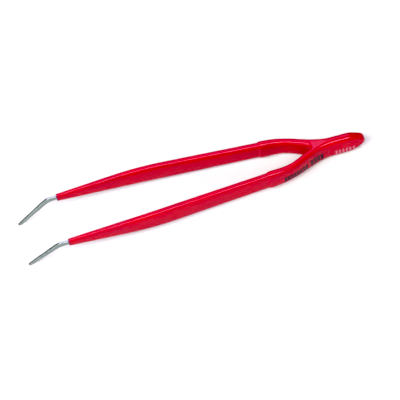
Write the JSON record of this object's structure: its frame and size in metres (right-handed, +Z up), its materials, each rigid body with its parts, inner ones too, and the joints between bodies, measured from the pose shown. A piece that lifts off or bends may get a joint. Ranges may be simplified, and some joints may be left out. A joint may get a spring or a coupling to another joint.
{
  "type": "precision tweezers",
  "caption": "Slender sprung tweezers with a red plastic coat over both arms and the heel, and bare steel points angled downwards.",
  "frame": {"origin": "middle of the bounding box, on the surface that the tweezers lie on", "axes": "+X towards the heel, along the tool; +Y from the left arm to the right arm; +Z up, the points are bent downwards"},
  "size_m": [0.1504, 0.0272, 0.013],
  "materials": {
    "steel": "satin stainless steel strip, dull, with fine grinding marks at the points",
    "first_coat": "red dipped plastic, satin to glossy, smooth",
    "second_coat": "second, thicker red dip over the heel, satin to glossy, smooth, with a soft edge"
  },
  "bodies": {
    "heel": {"heel_cover": "second_coat", "heel_undercoat": "first_coat", "blade_root_left": "steel", "blade_root_right": "steel"},
    "left_arm": {"blade_left": "steel", "sleeve_left": "first_coat", "heel_cuff_left": "second_coat"},
    "right_arm": {"blade_right": "steel", "sleeve_right": "first_coat", "heel_cuff_right": "second_coat"}
  },
  "joints": [
    {"name": "left_arm_flex", "type": "hinge", "parent": "heel", "child": "left_arm", "pos_m": [0.03721, -0.00773, 0.00628], "axis": [-0.0383, 0, -0.9993], "range_deg": [-2, 5.3], "stiffness_Nm_per_rad": 2},
    {"name": "right_arm_flex", "type": "hinge", "parent": "heel", "child": "right_arm", "pos_m": [0.03721, 0.00773, 0.00628], "axis": [0.0383, 0, 0.9993], "range_deg": [-2, 5.3], "stiffness_Nm_per_rad": 2}
  ]
}
